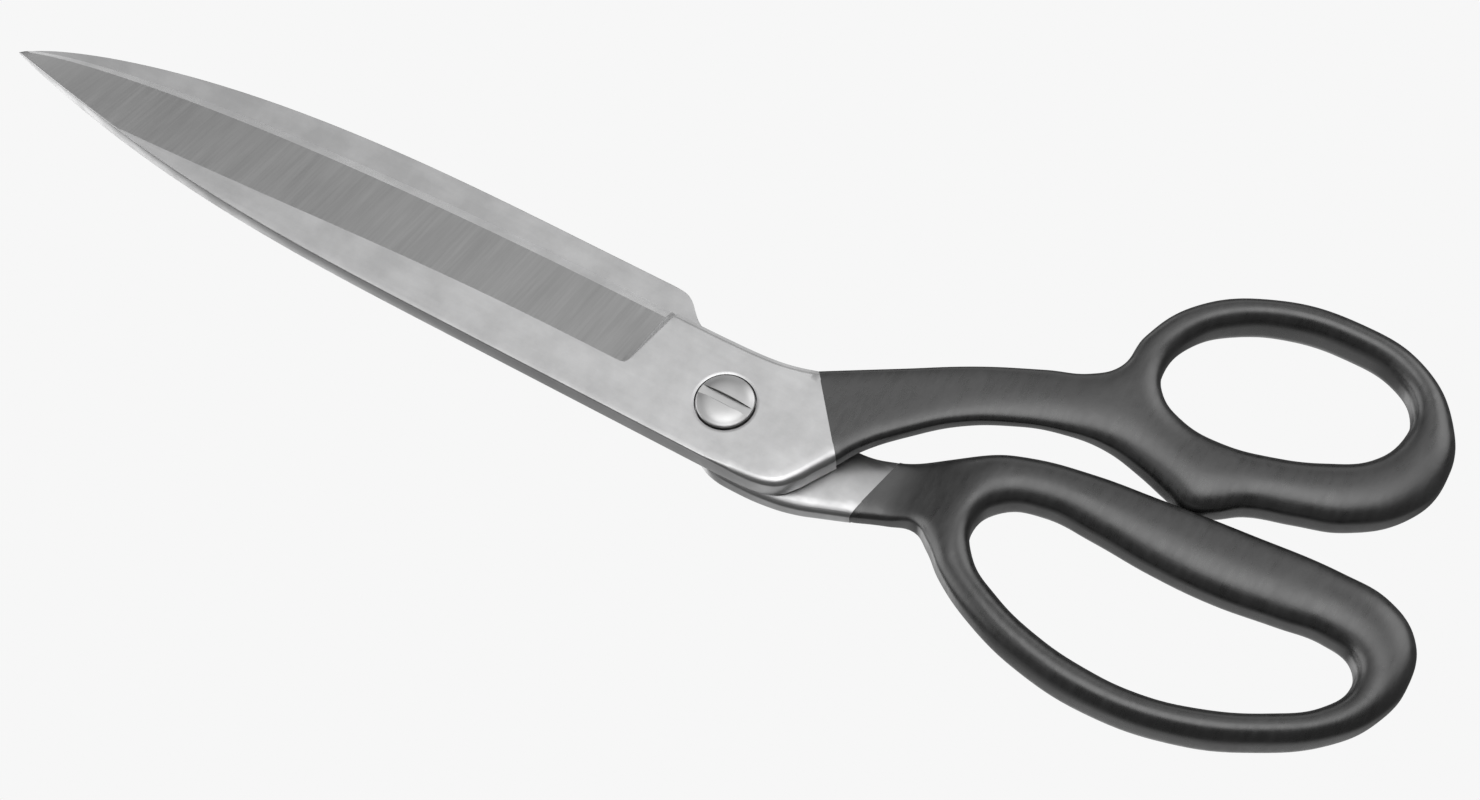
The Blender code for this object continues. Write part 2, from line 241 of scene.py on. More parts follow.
def cut_off(loop, line):
    """The part of a closed loop to the right of a line and a little over it, as an open run."""
    a, b = np.array(line, float)
    across = unit(np.array([b[1] - a[1], a[0] - b[0]]))
    side = (loop - a) @ across + COAT_OVERLAP
    keep = side > 0
    start = int(np.argmax(keep & ~np.roll(keep, 1)))
    loop, side = np.roll(loop, -start, 0), np.roll(side, -start)
    count = int((side > 0).sum())

    def crossing(i, j):
        return loop[i] + (loop[j] - loop[i]) * (side[i] / (side[i] - side[j]))

    return np.vstack([crossing(-1, 0), loop[:count], crossing(count - 1, count)])


def longer(run, both):
    """An open run with its start, or both its ends, drawn out straight."""
    before = run[0] + unit(run[0] - run[1]) * RUN_OUT
    after = run[-1] + unit(run[-1] - run[-2]) * RUN_OUT
    return np.vstack([before, run, after] if both else [before, run])


# ---------------------------------------------------------------- solids from a plan

QUARTER = [1 - math.cos(math.radians(turn)) for turn in (15, 30, 45, 60, 75, 90)]


def left_of(loop):
    """The unit direction to the left of a path at each of its points."""
    heading = unit(np.roll(loop, -1, 0) - np.roll(loop, 1, 0))
    return np.stack([-heading[:, 1], heading[:, 0]], 1)


def ring_points(loop, radius, shares):
    """Points to the left of a path, at shares of the local rounding radius."""
    normal = left_of(loop)
    radius = np.broadcast_to(radius, len(loop))
    rings = [(loop + normal * (radius * share)[:, None], radius * share) for share in shares]
    return np.vstack([points for points, _ in rings]), np.concatenate([gap for _, gap in rings])


def plan_mesh(loops, rings, lines, fill):
    """Triangles that fill the loops and follow their rims and feature lines: (points, triangles)."""
    border = KDTree(sum(len(loop) for loop in loops))
    for i, place in enumerate(np.vstack(loops)):
        border.insert((*place, 0), i)
    border.balance()

    def border_gap(points):
        return np.array([border.find((*p, 0))[2] for p in points])

    points, edges = [], []
    for loop in loops:
        base = len(points)
        points += [tuple(p) for p in loop]
        edges += [(base + i, base + (i + 1) % len(loop)) for i in range(len(loop))]
    for line in lines:
        base = len(points)
        points += [tuple(p) for p in line]
        edges += [(base + i, base + i + 1) for i in range(len(line) - 1)]
    for place, gap in rings:
        good = (gap > 0.01) & inside(place, loops)
        place, gap = place[good], gap[good]
        good = border_gap(place) > 0.93 * gap
        points += [tuple(p) for p in place[good]]
    low, high = np.vstack(loops).min(0), np.vstack(loops).max(0)
    rows = np.arange(low[1], high[1], fill * ROW_HEIGHT)
    grid = [(x + (fill / 2 if row % 2 else 0), y) for row, y in enumerate(rows)
            for x in np.arange(low[0], high[0], fill)]
    grid = np.array(grid)
    grid = grid[inside(grid, loops)]
    taken = KDTree(len(points))
    for i, place in enumerate(points):
        taken.insert((*place, 0), i)
    taken.balance()
    points += [tuple(p) for p in grid if taken.find((*p, 0))[2] > 0.55 * fill]
    found, _, faces, _, _, _ = delaunay_2d_cdt([Vector(p) for p in points], edges, [], 0, 1e-5)
    found = np.array([tuple(p) for p in found])
    faces = np.array([f for f in faces if len(f) == 3])
    faces = faces[inside(found[faces].mean(1), loops)]
    a, b, c = (found[faces[:, k]] for k in range(3))
    turn = (b[:, 0] - a[:, 0]) * (c[:, 1] - a[:, 1]) - (b[:, 1] - a[:, 1]) * (c[:, 0] - a[:, 0])
    faces[turn < 0] = faces[turn < 0][:, ::-1]
    return found, faces[np.abs(turn) > 1e-9]


def solid(name, plan, top, bottom, flip=False, area=None):
    """A closed mesh between two heights over a plan. area gives each top triangle's material number."""
    points, faces = plan
    count = len(points)
    upper = np.column_stack([points, top])
    lower = np.column_stack([points, bottom])
    directed = {}                   # used as a set that keeps its order
    for a, b, c in faces:
        for edge in ((a, b), (b, c), (c, a)):
            directed[edge] = True
    walls = [(a, a + count, b + count, b) for a, b in directed if (b, a) not in directed]
    vertices = np.vstack([upper, lower])
    if flip:
        vertices[:, 1:] *= -1
    vertices[:, 2] += PIVOT.z / MM
    mesh = bpy.data.meshes.new(name)
    mesh.from_pydata((vertices * MM).tolist(), [],
                     faces.tolist() + (faces[:, ::-1] + count).tolist() + walls)
    if area is not None:
        numbers = np.concatenate([area, np.zeros(len(faces) + len(walls), int)])
        mesh.polygons.foreach_set("material_index", numbers.astype(np.int32))
    mesh.update()
    return add_piece(name, mesh)


def add_piece(name, mesh):
    obj = bpy.data.objects.new(name, mesh)
    bpy.context.scene.collection.objects.link(obj)
    return obj


def settle(obj):
    """Apply the modifiers, shade smooth and keep edges sharp where the surface or its finish changes."""
    bpy.context.view_layer.update()
    mesh = bpy.data.meshes.new_from_object(obj.evaluated_get(bpy.context.evaluated_depsgraph_get()))
    obj.modifiers.clear()
    old, obj.data = obj.data, mesh
    bpy.data.meshes.remove(old)
    mesh.name = obj.name
    mesh.shade_smooth()
    mesh.set_sharp_from_angle(angle=math.radians(SHARP_ANGLE))
    finishes = {}
    for face in mesh.polygons:
        for edge in face.edge_keys:
            finishes.setdefault(edge, set()).add(face.material_index)
    for edge in mesh.edges:
        if len(finishes.get(tuple(sorted(edge.vertices)), ())) > 1:
            edge.use_edge_sharp = True
    return obj


def turned(name, profile):
    """A piece turned about the pivot axis from (radius, height) points, listed from the top down."""
    mesh = bpy.data.meshes.new(name)
    mesh.from_pydata([(r * MM, 0, PIVOT.z + z * MM) for r, z in profile],
                     [(i, i + 1) for i in range(len(profile) - 1)], [])
    obj = add_piece(name, mesh)
    screw = obj.modifiers.new("Turn", "SCREW")
    screw.axis = "Z"
    screw.steps = TURN_STEPS
    screw.render_steps = TURN_STEPS
    screw.use_merge_vertices = True
    screw.merge_threshold = 0.000001
    return settle(obj)


def cut(obj, cutter):
    """Take the cutter's shape out of obj and delete the cutter."""
    boolean = obj.modifiers.new("Cut", "BOOLEAN")
    boolean.operation = "DIFFERENCE"
    boolean.object = cutter
    settle(obj)
    bpy.data.objects.remove(cutter)
    return obj


def bar(name, section, low, high):
    """A straight bar along X, to cut with. section is its (y, height) points, counterclockwise."""
    count = len(section)
    corners = [(x * MM, y * MM, PIVOT.z + z * MM) for x in (low, high) for y, z in section]
    sides = [(i, i + count, (i + 1) % count + count, (i + 1) % count) for i in range(count)]
    faces = [tuple(reversed(range(count))), tuple(range(count, 2 * count))]
    mesh = bpy.data.meshes.new(name)
    mesh.from_pydata(corners, [], faces + [tuple(reversed(side)) for side in sides])
    return add_piece(name, mesh)


# ---------------------------------------------------------------- blades

def run_in(x, start):
    """0 at start, growing to 1 at the tip."""
    return ramp(x, start, TIP_X)


def side_line(x, heel, start, power, root, tip_shift=0.0):
    """One side of a blade: y is heel as far as x = start, and then curves in to the tip.

    power and root set how full the curve is, and tip_shift moves its end sideways.
    """
    share = run_in(x, start)
    return heel * (1 - share ** power) ** root + tip_shift * share ** TIP_POWER


def front_spine(x):
    return side_line(x, FRONT_SPINE, -50, 2.75, 1, -0.4)


def front_edge(x):
    return side_line(x, FRONT_EDGE, STEP_X, 2.4, 2 / 3, 0.1)


def rear_spine(x):
    """The rear blade's back, seen from behind, where it is the lower line."""
    return side_line(x, -REAR_SPINE, -40, 2.7, 1 / 1.3, -0.3)


def rear_edge(x):
    """The rear blade's cutting edge, seen from behind."""
    return side_line(x, -REAR_EDGE, STEP_X, 2.4, 2 / 3)


def land_line(x, spine, edge):
    """The soft line where the flat land beside the back ends."""
    share = 1 - ramp(x, STEP_X, TAPER_X) ** LAND_POWER
    width = np.minimum(LAND_WIDTH * share, (edge(x) - spine(x)) * LAND_MOST)
    corner = ramp(x, STEP_X - LAND_CORNER, STEP_X)
    return spine(x) + width + LAND_CORNER * (1 - np.sqrt(1 - corner ** 2))


def crease_line(x, spine, edge):
    """The line where the sharpening bevel starts."""
    width = edge(x) - spine(x)
    bevel = BEVEL_WIDTH * (width / HEEL_WIDTH) ** BEVEL_POWER
    return edge(x) - np.minimum(bevel, width * BEVEL_MOST)


def ground_height(x, y, spine, edge):
    """Outer face of the ground part of a blade: land, ground slope and bevel."""
    thinning = run_in(x, TAPER_X) ** 2
    back = OUTER - (OUTER - TIP_Z) * thinning
    land, bevel = land_line(x, spine, edge), crease_line(x, spine, edge)
    crease = EDGE_Z + BEVEL_SLOPE * (edge(x) - bevel)
    slope = back - (back - crease) * np.clip((y - land) / np.maximum(bevel - land, 0.05), 0, 1)
    return slope - BEVEL_SLOPE * np.maximum(y - bevel, 0)


def soft_rise(run, half):
    """0 before a corner and run after it, with a small curve between."""
    return np.where(run > half, run, np.maximum(run + half, 0) ** 2 / (4 * half))


def outer_height(points, spine, edge):
    """Outer face of a whole blade: ground part, step wall and full-height heel."""
    x, y = points[:, 0], points[:, 1]
    ground = ground_height(np.minimum(x, STEP_X), y, spine, edge)
    wall = STEP_SLOPE * soft_rise(x - STEP_X, STEP_SOFT)
    left = (OUTER - ground - wall) / STEP_SLOPE
    whole = np.maximum(ground, OUTER - STEP_SLOPE * soft_rise(left, STEP_SOFT))
    return np.where(x > STEP_X - STEP_SOFT, whole, ground)


class Rim:
    """A rim of a face: how far in it reaches at its start and end, and how deep it is for that reach.

    power is None for a rounding, 1 for a chamfer and 2 for a crown.
    """

    def __init__(self, run, first, last, depth=1.0, power=None, both=True):
        self.run = longer(run, both)
        self.first, self.last = first, last
        self.depth, self.power = depth, power

    def drop(self, points):
        """How far the face drops at each point."""
        gap, place = measure(points, self.run)
        reach = self.first + (self.last - self.first) * place / (len(self.run) - 1)
        share = np.clip(1 - gap / reach, 0, 1)
        fall = share ** self.power if self.power else 1 - np.sqrt(1 - share ** 2)
        return reach * self.depth * fall

    def ring(self):
        reach = np.linspace(self.first, self.last, len(self.run))
        return ring_points(self.run, reach, (0.3, 0.75, 1.0, 1.25) if self.power else QUARTER)


def rounding(points, rims):
    return np.max([rim.drop(points) for rim in rims], 0)


def blade_loop(spine, edge, heel, end_line, shoulder):
    """The closed outline of a blade and its back alone, with closer points towards the tip."""
    far = np.linspace(0, 1, SIDE_POINTS) ** SIDE_CROWDING
    back_x = TIP_X + (heel[0][0] - TIP_X) * far
    edge_x = (TIP_X + (STEP_X - TIP_X) * far)[::-1]
    back = np.column_stack([back_x, spine(back_x)])
    cutting = np.column_stack([edge_x, edge(edge_x)])
    back[-1] = heel[0]
    tip = np.array([cutting[-1], back[0]])
    loop = joined(back, heel, straight(*end_line, BORDER_STEP), shoulder,
                  straight(shoulder[-1], cutting[0], 0.3, (0.1, 0.3)), cutting, tip)
    return loop, back


def feature_lines(spine, edge, loop):
    """The lines that a blade's triangles follow: land, crease, and foot and brow of the step's wall."""
    stations = TIP_X + (STEP_X - TIP_X) * np.linspace(0.02, 1, LINE_POINTS) ** LINE_CROWDING
    land = np.column_stack([stations, land_line(stations, spine, edge)])
    crease = np.column_stack([stations, crease_line(stations, spine, edge)])
    foot_y = np.arange(land[-1, 1], crease[-1, 1], 0.5)[1:]
    foot = np.vstack([land[-1], np.column_stack([np.full(len(foot_y), STEP_X), foot_y]), crease[-1],
                      [STEP_X, (crease[-1, 1] + edge(STEP_X)) / 2], [STEP_X, edge(STEP_X) - 0.3]])
    heights = ground_height(np.full(len(foot), STEP_X), foot[:, 1], spine, edge)
    brow = np.column_stack([STEP_X + (OUTER - heights) / STEP_SLOPE, foot[:, 1]])[1:]
    curve = [(share * STEP_SOFT, 0) for share in (-1, -0.5, 0.5, 1)]
    wall_lines = [line + shift for line in (foot[1:], brow) for shift in curve]
    beside = [land + (0, gap) for gap in (-0.25, 0.25)]
    near, wide = 0.04, 0.4          # how close to the outline a line may come
    lines = [(land, wide), (crease, near / 2), (foot, near), (brow, near),
             *[(line, near) for line in wall_lines], *[(line, wide) for line in beside]]
    return [line[inside(line, [loop]) & (measure(line, loop, True)[0] > gap)] for line, gap in lines]


def finish_numbers(middle, spine, edge, rims):
    """Which finish each triangle of a blade's outer face gets, from the middles of the triangles."""
    x, y = middle[:, 0], middle[:, 1]
    ahead = x < STEP_X - STEP_SOFT
    ground_from = np.maximum(land_line(x, spine, edge), spine(x) + RIM_BAND)
    area = np.where(ahead & (y > ground_from), GROUND, LAND)
    area = np.where(ahead & (y > crease_line(x, spine, edge)), BEVEL, area)
    area = np.where(~ahead & (outer_height(middle, spine, edge) < OUTER - TINY), STEP, area)
    chamfers = [rim.drop(middle) for rim in rims if rim.power == 1]
    deepest = np.max([np.zeros(len(middle)), *chamfers], 0)
    return np.where((area == LAND) & (deepest > CHAMFER_SHOWS), BEVEL, area)


def blade(name, spine, edge, heel, end_line, shoulder, outer_rims, inner_rims, flip, seat):
    """A blade drawn with its back below and its edge above; the rear one is then turned over.

    heel and shoulder are open runs: from the back to the steel's end, and from there to the edge.
    outer_rims and inner_rims give the rims of the two faces for the blade's back.
    seat is the radius of a circle of finer faces around the pivot.
    """
    loop, back = blade_loop(spine, edge, heel, end_line, shoulder)
    outer, inner = outer_rims(back), inner_rims(back)
    rings = [rim.ring() for rim in outer + inner]
    lines = feature_lines(spine, edge, loop)
    around = np.radians(np.arange(0, 359, 3))
    lines.append(seat * np.column_stack([np.cos(around), np.sin(around)]))
    points, faces = plan_mesh([loop], rings, [line for line in lines if len(line) > 1], BLADE_FILL)
    top = outer_height(points, spine, edge) - rounding(points, outer)
    bottom = np.minimum(INNER + rounding(points, inner), top - 0.05)
    area = finish_numbers(points[faces].mean(1), spine, edge, outer)
    return solid(name, (points, faces), top, bottom, flip, area)


def front_blade():
    heel = smooth_path([(2.0, -9.95), (4.9, -9.9), (8.5, -9.8), (11.0, -9.55), (12.8, -9.1),
                        (14.6, -8.2), (16.5, -6.0), (18.3, -2.9), FRONT_STEEL_END[0]],
                       CURVE_STEP)
    shoulder = smooth_path([FRONT_STEEL_END[1], (7.2, 11.3), (5.0, 10.8), (2.5, 10.45), (0.0, 10.25),
                            (-5.0, 10.1), (-15.5, 10.0)], CURVE_STEP)
    corner = 15                     # the heel's point where it turns from the back to the end

    def outer_rims(back):
        return [Rim(back, 0.25, 0.25), Rim(heel[:corner + 1], 0.25, 1.2, 0.9),
                Rim(heel[corner:], 1.2, 1.6, 0.8), Rim(shoulder, 0.8, 0.8, BEVEL_SLOPE, 1, False),
                Rim(shoulder, 0.12, 0.12, both=False)]

    def inner_rims(back):
        return [Rim(back, 0.12, 0.12), Rim(heel, 0.2, 0.2), Rim(shoulder, 0.2, 0.2, both=False)]

    piece = blade("front_blade_steel", front_spine, front_edge, heel, FRONT_STEEL_END, shoulder,
                  outer_rims, inner_rims, False, 5.5)
    lip, wall, floor, bore = 5.4, 4.98, 1.7, 3.3
    seat = turned("seat_cutter", [(0, 9), (lip, 9), (lip, OUTER + 0.04), (wall, OUTER - 0.08),
                                  (wall, floor), (bore, floor), (bore, -2), (0, -2)])
    return cut(piece, seat)


def rear_blade():
    """Drawn as seen from behind, with +Y and the height turned over."""
    end_line = [(x, -y) for x, y in reversed(REAR_STEEL_END)]
    heel = smooth_path([(-21.0, -16.0), (-19.0, -15.97), (-17.0, -15.7), (-15.7, -15.0), (-14.2, -13.6),
                        (-12.9, -12.4), (-11.5, -11.6), (-10.0, -11.2), (-4.5, -10.2), (0.0, -9.9),
                        (4.5, -9.4), (9.0, -8.4), (14.5, -6.2), (19.0, -4.9), (23.3, -4.95),
                        end_line[0]], CURVE_STEP)
    shoulder = smooth_path([end_line[1], (21.3, 7.3), (17.7, 8.6), (13.5, 9.5), (7.0, 9.9), (3.0, 9.6),
                            (0.4, 8.6), (-2.0, 6.9), (-4.5, 5.4), (-7.5, 4.5), (-9.5, 4.2),
                            (-15.3, 4.0)], CURVE_STEP)
    late = len(heel) * 3 // 4       # the heel's last quarter is crowned
    half = len(shoulder) * 3 // 5   # the shoulder's rounding narrows after this point

    def outer_rims(back):
        return [Rim(back, 0.25, 0.25), Rim(heel, 0.25, 1.0), Rim(shoulder, 1.3, 0.4, both=False)]

    def inner_rims(back):
        return [Rim(back, 0.1, 0.1), Rim(heel[:late], 0.1, 0.1), Rim(heel[late - 1:], 4.0, 9.0, 0.13, 2),
                Rim(shoulder[:half], 2.2, 2.2, 0.55),
                Rim(shoulder[half - 1:], 2.2, 0.2, 0.55, both=False)]

    piece = blade("rear_blade_steel", rear_spine, rear_edge, heel, end_line, shoulder,
                  outer_rims, inner_rims, True, 0.3)
    wall, lip = 2.8, 3.3
    bore = turned("bore_cutter", [(0, 3), (wall, 3), (wall, -OUTER + 0.15), (lip, -OUTER - 0.3),
                                  (lip, -9), (0, -9)])
    return cut(piece, bore)


# ---------------------------------------------------------------- handles

FRONT_OUTLINE = [
    (3.5, 8.5), (9.8, 12.4), (20.7, 19.1), (30.9, 25.3), (40.6, 30.1), (46.8, 32.9), (50.4, 36.6),
    (51.3, 43.4), (55.5, 52.1), (65.3, 59.2), (80.2, 62.1), (91.3, 60.0), (99.3, 52.5), (101.9, 44.4),
    (99.6, 36.4), (92.0, 29.6), (84.9, 27.0), (77.8, 24.6), (73.9, 21.8), (70.0, 20.2), (66.2, 21.3),
    (60.9, 22.8), (54.5, 23.6), (47.2, 22.2), (40.6, 19.7), (33.5, 15.7), (27.6, 10.4), (22.0, 3.9),
    (19.9, 0.0), (16.9, -5.1),
]
THUMB_HOLE = [
    (56.1, 40.6), (57.8, 47.2), (62.6, 52.5), (70.0, 56.2), (79.8, 57.6), (88.1, 56.4), (92.8, 52.6),
    (93.7, 47.5), (91.2, 41.4), (84.9, 37.1), (77.4, 34.1), (70.0, 32.5), (63.1, 33.0), (57.8, 36.0),
]
REAR_OUTLINE = [
    (22.0, 4.3), (27.8, 6.4), (34.8, 10.2), (45.2, 15.6), (55.3, 18.0), (65.3, 19.2), (80.2, 20.7),
    (95.1, 21.7), (103.0, 21.0), (108.6, 17.2), (110.6, 10.9), (109.2, 4.1), (105.0, -2.2), (95.0, -9.4),
    (85.0, -13.7), (72.0, -15.9), (59.8, -14.9), (49.7, -11.7), (42.5, -7.7), (38.4, -4.2), (35.0, -2.2),
    (30.9, -3.4), (25.4, -5.7), (20.0, -8.0),
]
FINGER_HOLE = [
    (43.0, 2.2), (45.5, 7.0), (51.5, 9.4), (59.7, 9.4), (69.7, 8.8), (79.8, 9.0), (89.9, 10.4),
    (97.0, 11.3), (102.3, 9.9), (103.8, 5.6), (101.5, 0.8), (95.1, -4.1), (85.1, -8.8), (77.0, -10.8),
    (69.0, -11.1), (60.3, -10.0), (52.0, -7.3), (45.7, -3.4),
]


MOST_ROUNDS = 900               # of the solver below, which stops sooner when it is this close:
CLOSE_ENOUGH = 1e-14


def spread_over(points, faces, reach, source, fixed):
    """Smooth a source over a plan mesh, with 0 where it is fixed.

    This solves reach^2 * laplacian(u) = u - source with linear triangles and conjugate gradients.
    """
    count = len(points)
    corner = points[faces]
    across = np.roll(corner, -1, 1) - np.roll(corner, -2, 1)        # the side that faces each corner
    area = 0.5 * np.abs(across[:, 0, 0] * across[:, 1, 1] - across[:, 0, 1] * across[:, 1, 0])
    stiff = np.einsum("tik,tjk->tij", across, across) * (reach ** 2 / (4 * area))[:, None, None]
    stiff = stiff.ravel()
    row = np.repeat(faces, 3, 1).ravel()
    column = np.tile(faces, (1, 3)).ravel()
    mass = np.bincount(faces.ravel(), np.repeat(area / 3, 3), count)

    def apply(u):
        return np.where(fixed, 0, np.bincount(row, stiff * u[column], count) + mass * u)

    scale = mass + np.bincount(row[row == column], stiff[row == column], count)
    u = np.zeros(count)
    rest = np.where(fixed, 0, mass * source)
    step = rest / scale
    push = rest @ step
    for _ in range(MOST_ROUNDS):
        change = apply(step)
        size = push / (step @ change)
        u += size * step
        rest = rest - size * change
        eased = rest / scale
        push, old = rest @ eased, push
        if push < CLOSE_ENOUGH:
            break
        step = eased + push / old * step
    return np.maximum(u, 0)


def bow_handle(name, outline, hole, end_line, faces_at, flat_until, round_from):
    """A bow handle. faces_at(x) gives its upper and lower height where it is widest.

    Next to the steel it is a flat bar with rounded rims. Further on its section is close to an ellipse.
    """
    whole = smooth_path(outline, BOW_STEP, closed=True)[::-1]
    opening = smooth_path(hole, BOW_STEP, closed=True)

    def fullness(x):
        """0 where the handle is a flat bar, and 1 where it is a full bow."""
        return ease(x, flat_until, round_from)

    whole = whole - left_of(whole) * (COAT * fullness(whole[:, 0]))[:, None]
    opening = opening - left_of(opening) * COAT
    run = cut_off(whole, end_line)
    border = joined(run, straight(run[-1], run[0], BORDER_STEP))
    shares = [0.02, 0.07, 0.15, 0.26, 0.4, 0.57, 0.78, 1.02]
    at_steel, at_bow = 1, 3.5       # how far in the closer rings of points reach
    rings = [ring_points(run, at_steel + (at_bow - at_steel) * fullness(run[:, 0]), shares),
             ring_points(opening, at_bow, shares)]
    points, faces = plan_mesh([border, opening], rings, [], BOW_FILL)
    rim = np.minimum(measure(points, run)[0], measure(points, opening, True)[0]) < 1e-4
    even = np.ones(len(points))
    nowhere = np.zeros(len(points), bool)
    arch = np.sqrt(spread_over(points, faces, BOW_REACH, even, rim)) * BOW_REACH * math.sqrt(2)
    half_width = spread_over(points, faces, AVERAGE_REACH, arch, nowhere) / (math.pi / 4)
    ellipse = np.clip(arch / half_width, 0, 1.2)
    lowered = 1 - np.exp(-half_width / NARROW)
    flat_bar = np.sqrt(spread_over(points, faces, ROOT_REACH, even, rim))

    full = fullness(points[:, 0])
    upper, lower = faces_at(points[:, 0])
    bow_drop = (upper - lower) / 2 * (1 - BOW_WALL) * (1 - ellipse * lowered)
    drop = bow_drop * full + ROOT_RISE * (1 - flat_bar) * (1 - full)
    return solid(name, (points, faces), upper - drop, lower + drop)


def swelling(upper, lower, rise, fall):
    """Upper and lower face of a handle that starts flush with the steel and swells to its full height.

    rise and fall say how far the upper and the lower face have got, from 0 to 1.
    """
    return upper + (HANDLE_HALF - upper) * rise, lower - (HANDLE_HALF + lower) * fall


def front_faces(x):
    return swelling(OUTER + COAT_STEP, INNER - COAT_STEP, ease(x, 20, 45), ease(x, 42, 66))


def rear_faces(x):
    return swelling(COAT_STEP - INNER, -OUTER - COAT_STEP, ease(x, 29, 43), ease(x, 28, 50))


# ---------------------------------------------------------------- screw, washers and nut

def pivot_screw():
    """Slotted head with a low dome, a shoulder and a threaded tail. The slot's walls get a second, dark
    material that paints the shade in the slot.
    """
    low, high = cad_box("pivot_screw")
    head, top, tail = high.x, high.z, low.z
    head_under, shoulder, shoulder_end = 2.7, 3.0, 0.45
    thread, root, pitch = 2.5, 2.12, 0.8
    corner = 0.35                   # rounding of the head's rim
    dome = head - corner
    steepest = math.tan(math.radians(DOME_TILT))
    rim_top = top - dome * steepest / 4
    profile = [(0, top)]
    profile += [(dome * share, top - dome * steepest / 4 * share ** 4) for share in np.arange(1, 17) / 16]
    for turn in range(DOME_TILT + 10, 91, 10):
        angle = math.radians(turn)
        profile.append((dome + corner * math.sin(angle), rim_top - corner * (1 - math.cos(angle))))
    profile += [(head, head_under + 0.05), (head - 0.05, head_under), (shoulder, head_under),
                (shoulder, shoulder_end), (thread, shoulder_end)]
    z = -4.6                        # the thread starts here
    while z > tail + pitch:
        profile += [(thread, z), (thread, z - 0.1), (root, z - pitch / 2), (thread, z - pitch + 0.1)]
        z -= pitch
    profile += [(2.4, tail + 0.25), (2.15, tail), (0, tail)]
    screw = turned("pivot_screw_head", profile)
    floor = top - SLOT_DEPTH
    half, lip = SLOT_WIDTH / 2, top - SLOT_LIP
    cut(screw, bar("slot_cutter", [(-half, floor), (half, floor), (half, lip), (half + 1, lip + 1),
                                   (-half - 1, lip + 1), (-half, lip)], -8, 8))
    # The slot's side walls get material 1, a dark grey: painted shade in the slot.
    for face in screw.data.polygons:
        height = (face.center.z - PIVOT.z) / MM
        in_slot = abs(face.center.y / MM) < SLOT_WIDTH / 2 + 0.01 and height > floor + 0.01
        face.material_index = 1 if in_slot and abs(face.normal.y) > 0.9 else 0
    return screw


def plain_washer(name, node, inner, chamfer):
    """A flat ring with chamfered edges, as high and as wide as its CAD node."""
    low, high = cad_box(node)
    outer = high.x
    profile = [(inner + chamfer, high.z), (outer - chamfer, high.z), (outer, high.z - chamfer),
               (outer, low.z + chamfer), (outer - chamfer, low.z), (inner + chamfer, low.z),
               (inner, low.z + chamfer), (inner, high.z - chamfer), (inner + chamfer, high.z)]
    return turned(name, profile)


def spring_ring():
    """A spring lock washer: a ring that is split by a cut to one side."""
    low, high = cad_box("spring_washer")
    washer = plain_washer("split_spring_washer", "spring_washer", 2.8, 0.08)
    below, above, half = low.z - 1, high.z + 1, 0.25
    cutter = bar("split_cutter", [(-half, below), (half, below), (half, above), (-half, above)], -6, 0)
    cutter.data.transform(Matrix.Rotation(math.radians(25), 4, "Z"))
    return cut(washer, cutter)


def hexagon_nut():
    """A hexagon nut with turned-down corners and a countersunk bore."""
    low, high = cad_box("lock_nut")
    flats = 9.0
    corner = flats / 2 / math.cos(math.radians(30))
    mesh = bpy.data.meshes.new("lock_nut_hexagon")
    angles = [math.radians(60 * i) for i in range(6)]
    ends = [(corner * math.cos(a) * MM, corner * math.sin(a) * MM, PIVOT.z + z * MM)
            for z in (low.z, high.z) for a in angles]
    sides = [(i, (i + 1) % 6, (i + 1) % 6 + 6, i + 6) for i in range(6)]
    mesh.from_pydata(ends, [], [tuple(reversed(range(6))), tuple(range(6, 12)), *sides])
    nut = add_piece("lock_nut_hexagon", mesh)
    rim, reach = flats / 2 - 0.1, corner + 0.4
    drop = (reach - rim) * math.tan(math.radians(30))
    dome = turned("nut_dome", [(0, high.z + 0.01), (rim, high.z + 0.01), (reach, high.z - drop),
                               (reach, low.z + drop), (rim, low.z - 0.01), (0, low.z - 0.01)])
    dome.data.transform(Matrix.Rotation(math.radians(1.2), 4, "Z"))     # no edge meets a corner exactly
    keep = nut.modifiers.new("Corners", "BOOLEAN")
    keep.operation = "INTERSECT"
    keep.object = dome
    settle(nut)
    bpy.data.objects.remove(dome)
    wide, narrow, sink = 3.2, 2.75, 0.4
    bore = turned("nut_bore", [(0, high.z + 1), (wide, high.z + 1), (wide, high.z), (narrow, high.z - sink),
                               (narrow, low.z + sink), (wide, low.z), (wide, low.z - 1), (0, low.z - 1)])
    return cut(nut, bore)


# ---------------------------------------------------------------- materials

